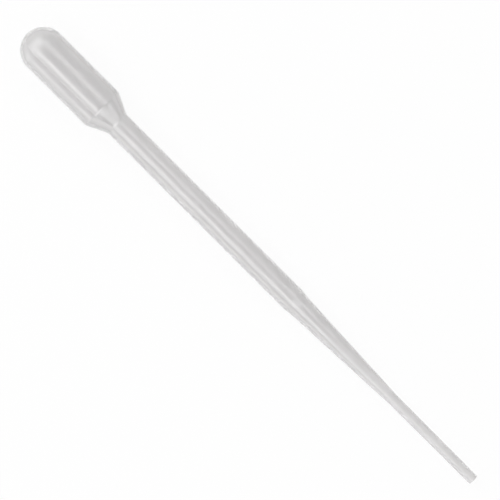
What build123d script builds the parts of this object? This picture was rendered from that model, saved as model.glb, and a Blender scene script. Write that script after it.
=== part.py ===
"""Plastic dropper pipette: squeeze bulb, long stem and fine tip, blow-moulded in one piece.

The outline is drawn along the pipette's own axis, from the bulb's closed end to the open mouth. The frame
is the surface that the pipette lies on: +Z is up, +X runs towards the mouth, and the origin is under the
middle of the bounding box. The pipette touches that surface at the bulb's shoulder and at the mouth.
"""

from build123d import *
import os
from math import asin, atan2, cos, degrees, hypot, sin, tan

# Lengths along the axis, in millimetres
bulb_length = 26.0  # closed end to the start of the shoulder
shoulder_length = 5.2  # cone from the bulb down to the stem
stem_length = 61.0
step_length = 2.4  # short cone that ends the straight stem
taper_length = 32.2
tip_length = 28.2

# Outside diameters
bulb_diameter = 11.5
stem_diameter = 6.4
taper_diameter = 5.8  # where the long taper starts
tip_diameter = 2.84  # where the tip starts
mouth_diameter = 2.6

# The wall is thickest at the closed end, where the mould pinches the hot tube shut
dome_wall = 1.1
bulb_wall = 0.45
stem_wall = 0.5
bore_diameter = 1.6  # straight bore through the tip

# Outside radii that blend one form into the next
shoulder_blend = 1.2
neck_blend = 1.6
step_blend = 3.0
taper_blend = 6.0
tip_blend = 14.0

# Raised line where the two halves of the mould met
seam_height = 0.05
seam_width = 0.2
seam_roll = 65.0  # degrees that the parting plane is rolled about the long axis, upwards on the -Y side

bulb_radius = bulb_diameter / 2
stem_radius = stem_diameter / 2
taper_radius = taper_diameter / 2
tip_radius = tip_diameter / 2
mouth_radius = mouth_diameter / 2
bore_radius = bore_diameter / 2

neck_at = bulb_length + shoulder_length
step_at = neck_at + stem_length
taper_at = step_at + step_length
tip_at = taper_at + taper_length
mouth_at = tip_at + tip_length

# Lying pose: one straight line touches the shoulder's blend and the mouth's edge
shoulder_slope = atan2(bulb_radius - stem_radius, shoulder_length)
blend_at = bulb_length - shoulder_blend * tan(shoulder_slope / 2)
contact_run = mouth_at - blend_at
contact_drop = bulb_radius - shoulder_blend - mouth_radius
lean = atan2(contact_drop, contact_run) + asin(shoulder_blend / hypot(contact_run, contact_drop))

# The dome reaches back past its own end, and the mouth's upper edge reaches furthest forward
dome_height = mouth_at * sin(lean) + mouth_radius * cos(lean)
back_reach = bulb_radius * (1 - cos(lean)) + seam_height
front_reach = mouth_at * cos(lean) + mouth_radius * sin(lean)
dome_place = (-(front_reach - back_reach) / 2, 0, dome_height)

long_axis = Axis(dome_place, (cos(lean), 0, -sin(lean)))
parting_plane = Plane(
    origin=dome_place,
    x_dir=long_axis.direction,
    z_dir=Vector(sin(lean), 0, cos(lean)).rotate(long_axis, -seam_roll),
)


def outside_half(raised):
    """Half of the outside form in the parting plane, raised above the surface by the given height."""
    with BuildSketch() as half:
        with BuildLine():
            dome = CenterArc((bulb_radius, 0), bulb_radius + raised, 90, 90)
            wall = FilletPolyline(
                dome @ 0,
                (bulb_length, bulb_radius + raised),
                (neck_at, stem_radius + raised),
                (step_at, stem_radius + raised),
                (taper_at, taper_radius + raised),
                (tip_at, tip_radius + raised),
                (mouth_at, mouth_radius + raised),
                radius=[shoulder_blend, neck_blend, step_blend, taper_blend, tip_blend],
            )
            Polyline(wall @ 1, (mouth_at, 0), dome @ 1)
        make_face()
    return half.sketch


def inside_half():
    """Half of the air space, from the bulb's inside to the bore's open end."""
    bulb_inside = bulb_radius - bulb_wall
    stem_inside = stem_radius - stem_wall
    dome_at = dome_wall + bulb_inside
    with BuildSketch() as half:
        with BuildLine():
            dome = CenterArc((dome_at, 0), bulb_inside, 90, 90)
            wall = FilletPolyline(
                dome @ 0,
                (bulb_length, bulb_inside),
                (neck_at, stem_inside),
                (step_at, stem_inside),
                (taper_at, taper_radius - stem_wall),
                (tip_at, bore_radius),
                (mouth_at, bore_radius),
                radius=[shoulder_blend - bulb_wall, neck_blend + stem_wall, step_blend, taper_blend, tip_blend],
            )
            Polyline(wall @ 1, (mouth_at, 0), dome @ 1)
        make_face()
    return half.sketch


with BuildPart() as pipette:
    with BuildSketch(parting_plane):
        add(outside_half(0))
    revolve(axis=long_axis)

    with BuildSketch(parting_plane):
        add(outside_half(seam_height))
        mirror(about=Plane.XZ)
    extrude(amount=seam_width / 2, both=True)

    with BuildSketch(parting_plane):
        add(inside_half())
    revolve(axis=long_axis, mode=Mode.SUBTRACT)

pipette.part.label = "pipette"

os.makedirs("parts", exist_ok=True)
export_step(pipette.part, "parts/pipette.step")
print(f"lies at {degrees(lean):.3f} degrees, {mouth_at:.1f} mm long")
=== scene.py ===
import math
import bmesh
import bpy
from mathutils import Matrix, Vector, noise


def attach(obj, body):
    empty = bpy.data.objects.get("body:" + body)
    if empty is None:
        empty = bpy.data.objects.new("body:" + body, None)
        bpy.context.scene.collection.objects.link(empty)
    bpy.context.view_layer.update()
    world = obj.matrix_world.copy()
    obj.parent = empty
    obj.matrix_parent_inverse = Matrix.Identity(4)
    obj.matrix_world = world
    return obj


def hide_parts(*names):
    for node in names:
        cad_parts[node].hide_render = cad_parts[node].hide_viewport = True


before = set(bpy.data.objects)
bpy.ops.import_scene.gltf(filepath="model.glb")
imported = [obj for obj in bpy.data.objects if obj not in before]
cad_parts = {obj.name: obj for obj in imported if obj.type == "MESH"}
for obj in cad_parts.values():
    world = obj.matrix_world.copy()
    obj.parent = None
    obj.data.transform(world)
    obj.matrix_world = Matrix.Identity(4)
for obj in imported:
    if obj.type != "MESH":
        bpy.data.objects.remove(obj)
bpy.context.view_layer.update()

mm = 0.001


def linearColour(code):  # "#rrggbb" as written, to Blender's linear values
    values = [int(code[i:i + 2], 16) / 255 for i in (1, 3, 5)]
    linear = [v / 12.92 if v <= 0.04045 else ((v + 0.055) / 1.055) ** 2.4 for v in values]
    return linear + [1.0]


# sockets go by name or number; a socket as a value makes a link
def addNode(tree, kind, inputs=None, **settings):
    node = tree.nodes.new(kind)
    for name, value in settings.items():
        setattr(node, name, value)
    for socket, value in (inputs or {}).items():
        if isinstance(value, bpy.types.NodeSocket):
            tree.links.new(value, node.inputs[socket])
        else:
            node.inputs[socket].default_value = value
    return node


def newMaterial(name):
    material = bpy.data.materials.new(name)
    material.use_nodes = True
    material.node_tree.nodes.clear()
    return material, material.node_tree


# The moulded piece: sizes in mm, s along its own axis from the closed end, r away from it
pipette = {
    "bulbLength": 26.0,
    "shoulderLength": 5.2,
    "stemLength": 61.0,
    "stepLength": 2.4,
    "taperLength": 32.2,
    "tipLength": 28.2,
    "bulbRadius": 5.75,
    "stemRadius": 3.2,
    "taperRadius": 2.9,
    "tipRadius": 1.42,
    "mouthRadius": 1.3,
    "domeWall": 1.1,
    "bulbWall": 0.45,
    "stemWall": 0.5,
    "boreRadius": 0.8,
    "blends": [1.2, 1.6, 3.0, 6.0, 14.0],  # outside: shoulder, neck, step, taper and tip
    "insideBlends": [0.75, 2.1, 3.0, 6.0, 14.0],
    "seamHeight": 0.05,  # of the solid, which sets where the dome ends
    "seamRise": 0.035,  # the parting lines show as low, soft ridges
    "seamWidth": 0.4,
    "seamLeastRadius": 0.6,  # nearer to the axis the lines get no wider
    "seamRoll": 65.0,  # degrees above level, on the -Y side
    "wallWave": 0.03,  # how far the inner wall swells and thins
    "waveLength": 14.0,
    "waveAround": 0.7,  # higher gives more waves on the way round
    "waveFadeIn": 8.0,  # from the closed end
    "waveFadeOut": 12.0,  # before the tip
    "seamThinning": 0.7,  # how much thinner at the parting lines, as a share of wallWave
    "ringSpacing": 1.0,
    "halfTurnColumns": 58,
    "weldDistance": 0.0005,
}


def arcPoints(centre, radius, start, end, steps):
    angles = [math.radians(start + (end - start) * i / steps) for i in range(steps + 1)]
    return [(centre[0] + radius * math.cos(a), centre[1] + radius * math.sin(a)) for a in angles]


def roundedLine(corners, blends, steps=8):  # straight runs joined by arcs that touch both
    path = [corners[0]]
    for before, corner, after, blend in zip(corners, corners[1:], corners[2:], blends):
        corner = Vector(corner)
        back = (Vector(before) - corner).normalized()
        forward = (Vector(after) - corner).normalized()
        half = back.angle(forward) / 2
        centre = corner + (back + forward).normalized() * blend / math.sin(half)
        first = corner + back * blend / math.tan(half) - centre
        last = corner + forward * blend / math.tan(half) - centre
        turn = math.atan2(first.x * last.y - first.y * last.x, first.dot(last))
        for i in range(steps + 1):
            path.append(tuple(centre + Matrix.Rotation(turn * i / steps, 2) @ first))
    return path + [corners[-1]]


def withRings(path, spacing):
    full = [path[0]]
    for a, b in zip(path, path[1:]):
        parts = max(1, math.ceil(math.dist(a, b) / spacing))
        for i in range(1, parts + 1):
            full.append((a[0] + (b[0] - a[0]) * i / parts, a[1] + (b[1] - a[1]) * i / parts))
    return full


neckAt = pipette["bulbLength"] + pipette["shoulderLength"]
stepAt = neckAt + pipette["stemLength"]
taperAt = stepAt + pipette["stepLength"]
tipAt = taperAt + pipette["taperLength"]
mouthAt = tipAt + pipette["tipLength"]


def wallOutline(domeStart, bulb, stem, taper, tip, mouth, blends):
    domeCentre = domeStart + bulb
    path = arcPoints((domeCentre, 0), bulb, 180, 90, 36)
    path += roundedLine(
        [
            (domeCentre, bulb),
            (pipette["bulbLength"], bulb),
            (neckAt, stem),
            (stepAt, stem),
            (taperAt, taper),
            (tipAt, tip),
            (mouthAt, mouth),
        ],
        blends,
    )[1:]
    return withRings(path, pipette["ringSpacing"])


outside = wallOutline(
    0,
    pipette["bulbRadius"],
    pipette["stemRadius"],
    pipette["taperRadius"],
    pipette["tipRadius"],
    pipette["mouthRadius"],
    pipette["blends"],
)
inside = wallOutline(
    pipette["domeWall"],
    pipette["bulbRadius"] - pipette["bulbWall"],
    pipette["stemRadius"] - pipette["stemWall"],
    pipette["taperRadius"] - pipette["stemWall"],
    pipette["boreRadius"],
    pipette["boreRadius"],
    pipette["insideBlends"],
)

# Lying pose: one straight line touches the shoulder's blend and the mouth's edge
slope = math.atan2(pipette["bulbRadius"] - pipette["stemRadius"], pipette["shoulderLength"])
contactRun = mouthAt - pipette["bulbLength"] + pipette["blends"][0] * math.tan(slope / 2)
contactDrop = pipette["bulbRadius"] - pipette["blends"][0] - pipette["mouthRadius"]
lean = math.atan2(contactDrop, contactRun)
lean += math.asin(pipette["blends"][0] / math.hypot(contactRun, contactDrop))
backReach = pipette["bulbRadius"] * (1 - math.cos(lean)) + pipette["seamHeight"]
frontReach = mouthAt * math.cos(lean) + pipette["mouthRadius"] * math.sin(lean)
domeEnd = Vector((
    (backReach - frontReach) / 2,
    0,
    mouthAt * math.sin(lean) + pipette["mouthRadius"] * math.cos(lean),
))
along = Vector((math.cos(lean), 0, -math.sin(lean)))
across = Vector((0, -1, 0))
upward = across.cross(along)


# columns are closer together on the parting lines; each has its share of their height
def columnAngles(radius):
    edge = pipette["seamWidth"] / 2 / max(radius, pipette["seamLeastRadius"])
    angles = []
    for seam in (math.radians(pipette["seamRoll"]), math.radians(pipette["seamRoll"] + 180)):
        angles += [(seam, 1), (seam + edge * 0.5, 0.5), (seam + edge, 0)]
        span = math.pi - 2 * edge
        count = pipette["halfTurnColumns"]
        angles += [(seam + edge + span * i / count, 0) for i in range(1, count)]
        angles += [(seam + math.pi - edge, 0), (seam + math.pi - edge * 0.5, 0.5)]
    return angles


def wallRing(path, i, isOutside):
    s, r = path[i]
    if r < 1e-6 and not isOutside:
        return [domeEnd + along * s] * len(columnAngles(0))
    before, after = path[max(i - 1, 0)], path[min(i + 1, len(path) - 1)]
    outward = Vector((before[1] - after[1], after[0] - before[0])).normalized()
    if i == 0:
        outward = Vector((-1, 0))
    if i == len(path) - 1:
        outward = Vector((0, 1))
    ring = []
    for angle, share in columnAngles(r):
        if isOutside:
            shift = pipette["seamRise"] * share
        else:
            wide = pipette["waveAround"]
            place = Vector((s / pipette["waveLength"], math.cos(angle) * wide, math.sin(angle) * wide))
            fade = min(1, s / pipette["waveFadeIn"])
            fade *= min(1, max(0, (tipAt - s) / pipette["waveFadeOut"]))
            # the wall is thinner at the parting lines
            twoSided = math.cos(2 * angle - 2 * math.radians(pipette["seamRoll"]))
            wave = noise.noise(place) + pipette["seamThinning"] * twoSided
            shift = pipette["wallWave"] * fade * wave
        at, away = s + outward.x * shift, r + outward.y * shift
        sideways = across * math.cos(angle) + upward * math.sin(angle)
        ring.append(domeEnd + along * at + sideways * away)
    return ring


def makePipette():
    rings = [wallRing(outside, i, True) for i in range(len(outside))]
    mouthRing = len(rings) - 1
    rings += [wallRing(inside, i, False) for i in reversed(range(len(inside)))]
    count = len(rings[0])
    faces = []
    for i in range(len(rings) - 1):
        for k in range(count):
            n = (k + 1) % count
            faces.append((i * count + k, i * count + n, (i + 1) * count + n, (i + 1) * count + k))
    mesh = bpy.data.meshes.new("pipetteBody")
    mesh.from_pydata([v * mm for ring in rings for v in ring], [], faces)
    mesh.polygons.foreach_set("use_smooth", [True] * len(mesh.polygons))
    cutEdges = range(mouthRing * count, (mouthRing + 2) * count)
    for edge in mesh.edges:  # the cut mouth has crisp rims
        a, b = edge.vertices
        if a in cutEdges and b in cutEdges and a // count == b // count:
            edge.use_edge_sharp = True
    body = bpy.data.objects.new("pipette_body", mesh)
    bpy.context.scene.collection.objects.link(body)
    # the rings at both ends of the walls shrink to one point
    work = bmesh.new()
    work.from_mesh(mesh)
    bmesh.ops.remove_doubles(work, verts=work.verts, dist=pipette["weldDistance"] * mm)
    bmesh.ops.recalc_face_normals(work, faces=work.faces)
    work.to_mesh(mesh)
    work.free()
    return body


def naturalPolyethylene():
    # blow-moulded natural LDPE: milky and waxy, so highlights are soft
    # and what lies behind is only a blur
    material, tree = newMaterial("natural_LDPE")
    place = addNode(tree, "ShaderNodeTexCoord")
    turned = addNode(tree, "ShaderNodeMapping", {
        "Vector": place.outputs["Object"],
        "Rotation": (0, -lean, 0),
    })
    # die lines: the hot tube keeps fine streaks, about 0.9 mm wide and as long as the piece
    lines = addNode(tree, "ShaderNodeMapping", {
        "Vector": turned.outputs[0],
        "Scale": (1 / 200, 1, 1),
    })
    streaks = addNode(tree, "ShaderNodeTexNoise", {
        "Vector": lines.outputs[0],
        "Scale": 1 / (0.9 * mm),
        "Detail": 2.0,
        "Roughness": 0.5,
    })
    relief = addNode(tree, "ShaderNodeBump", {
        "Height": streaks.outputs[0],
        "Strength": 0.2,
        "Distance": 0.01 * mm,
    })
    # slight clouding in the wall, patches of about 4 mm
    clouds = addNode(tree, "ShaderNodeTexNoise", {
        "Vector": turned.outputs[0],
        "Scale": 1 / (4 * mm),
        "Detail": 2.0,
    })
    tint = addNode(tree, "ShaderNodeMix", {
        "Factor": clouds.outputs[0],
        "A": linearColour("#faf9f9"),
        "B": linearColour("#fffefe"),
    }, data_type="RGBA")
    shader = addNode(tree, "ShaderNodeBsdfPrincipled", {
        "Base Color": tint.outputs["Result"],
        "Roughness": 0.23,
        "IOR": 1.51,
        "Transmission Weight": 0.69,
        "Coat Weight": 1.0,
        "Coat Roughness": 0.1,
        "Coat IOR": 1.5,
        "Normal": relief.outputs[0],
    })
    addNode(tree, "ShaderNodeOutputMaterial", {"Surface": shader.outputs["BSDF"]})
    return material


body = makePipette()
body.data.materials.append(naturalPolyethylene())
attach(body, "root")
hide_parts("pipette")
print("pipette made:", len(body.data.polygons), "faces")

studio = {
    "floorWidth": 4000,
    "floorGap": 0.02,
    "directShare": 0.935,  # how far the paper shows plain white to the eye
    "mirroredShare": 0.4,  # the same in reflections and through the plastic
    "fillColour": "#ffffff",
    "fillStrength": 0.45,
    "lensLength": 300,  # long lens, so that nothing converges
    "viewWidth": 122.6,  # mm across the picture, at the height of the object
    "viewHeight": 4.6,  # mm above the floor where that width is measured
    "viewTurn": 45,  # degrees, so that the piece lies corner to corner
    "viewOffset": (0.17, -1.79),  # mm that the object lies right of and above the picture's middle
    "boxes": [  # name, side tilt, end tilt, distance, width across, length along, brightness
        ("keyStrip", 26, 0, 700, 225, 700, 2.0),
        ("softStrip", -34, 0, 700, 240, 600, 1.1),
        ("edgeStrip", 24, 32, 700, 820, 210, 4.5),
        ("coneBox", -17, 56, 700, 860, 160, 1.5),
        ("endBox", 4, -50, 700, 800, 560, 1.5),
        ("nearSideBox", 84, 0, 700, 240, 1400, 1.3),
    ],
    # it draws the bright lines at the shoulder and the neck, in the gloss and through the plastic,
    # and is hidden from diffuse rays
    "notDiffuse": ["edgeStrip"],
}


def paperFloor():
    # matt white paper: it shows white and keeps a soft shadow
    material, tree = newMaterial("white_paper")
    path = addNode(tree, "ShaderNodeLightPath")
    direct = addNode(tree, "ShaderNodeMath", {
        0: path.outputs["Is Camera Ray"],
        1: studio["directShare"],
    }, operation="MULTIPLY")
    mirrored = addNode(tree, "ShaderNodeMath", {
        0: path.outputs["Is Glossy Ray"],
        1: path.outputs["Is Transmission Ray"],
    }, operation="MAXIMUM")
    through = addNode(tree, "ShaderNodeMath", {
        0: mirrored.outputs[0],
        1: studio["mirroredShare"],
    }, operation="MULTIPLY")
    share = addNode(tree, "ShaderNodeMath", {
        0: direct.outputs[0],
        1: through.outputs[0],
    }, operation="MAXIMUM")
    paper = addNode(tree, "ShaderNodeBsdfDiffuse", {"Color": linearColour("#f6f6f6")})
    white = addNode(tree, "ShaderNodeEmission", {
        "Color": linearColour("#ffffff"),
        "Strength": 1.0,
    })
    mix = addNode(tree, "ShaderNodeMixShader", {
        0: share.outputs[0],
        1: paper.outputs[0],
        2: white.outputs[0],
    })
    addNode(tree, "ShaderNodeOutputMaterial", {"Surface": mix.outputs[0]})
    return material


def makeStudio():
    half, drop = studio["floorWidth"] / 2 * mm, -studio["floorGap"] * mm
    mesh = bpy.data.meshes.new("floorSheet")
    corners = [(-half, -half, drop), (half, -half, drop), (half, half, drop), (-half, half, drop)]
    mesh.from_pydata(corners, [], [(0, 1, 2, 3)])
    floor = bpy.data.objects.new("floor", mesh)
    bpy.context.scene.collection.objects.link(floor)
    floor.data.materials.append(paperFloor())

    world = bpy.data.worlds.new("studio")
    bpy.context.scene.world = world
    world.use_nodes = True
    tree = world.node_tree
    tree.nodes.clear()
    path = addNode(tree, "ShaderNodeLightPath")
    fill = addNode(tree, "ShaderNodeBackground", {
        "Color": linearColour(studio["fillColour"]),
        "Strength": studio["fillStrength"],
    })
    white = addNode(tree, "ShaderNodeBackground", {
        "Color": linearColour("#ffffff"),
        "Strength": 1.0,
    })
    mix = addNode(tree, "ShaderNodeMixShader", {
        0: path.outputs["Is Camera Ray"],
        1: fill.outputs[0],
        2: white.outputs[0],
    })
    addNode(tree, "ShaderNodeOutputWorld", {"Surface": mix.outputs[0]})

    for name, side, end, distance, wide, long, brightness in studio["boxes"]:
        lamp = bpy.data.lights.new(name, "AREA")
        lamp.shape = "RECTANGLE"
        lamp.size = long * mm
        lamp.size_y = wide * mm
        lamp.energy = brightness * math.pi * lamp.size * lamp.size_y
        box = bpy.data.objects.new(name, lamp)
        turn = Matrix.Rotation(math.radians(side), 4, "X")
        turn = turn @ Matrix.Rotation(math.radians(end), 4, "Y")
        box.matrix_world = turn @ Matrix.Translation((0, 0, distance * mm))
        if name in studio["notDiffuse"]:
            box.visible_diffuse = False
        bpy.context.scene.collection.objects.link(box)


def makeCamera():
    lens = bpy.data.cameras.new("camera")
    lens.lens = studio["lensLength"]
    lens.sensor_width = 36
    lens.clip_start = 0.05
    lens.clip_end = 20
    distance = studio["viewWidth"] * mm * lens.lens / lens.sensor_width
    camera = bpy.data.objects.new("camera", lens)
    right, high = studio["viewOffset"]
    turn = Matrix.Rotation(math.radians(studio["viewTurn"]), 4, "Z")
    above = distance + studio["viewHeight"] * mm
    camera.matrix_world = turn @ Matrix.Translation((-right * mm, -high * mm, above))
    bpy.context.scene.collection.objects.link(camera)
    bpy.context.scene.camera = camera


makeStudio()
makeCamera()
bpy.context.scene.view_settings.view_transform = "Standard"
print("studio made")
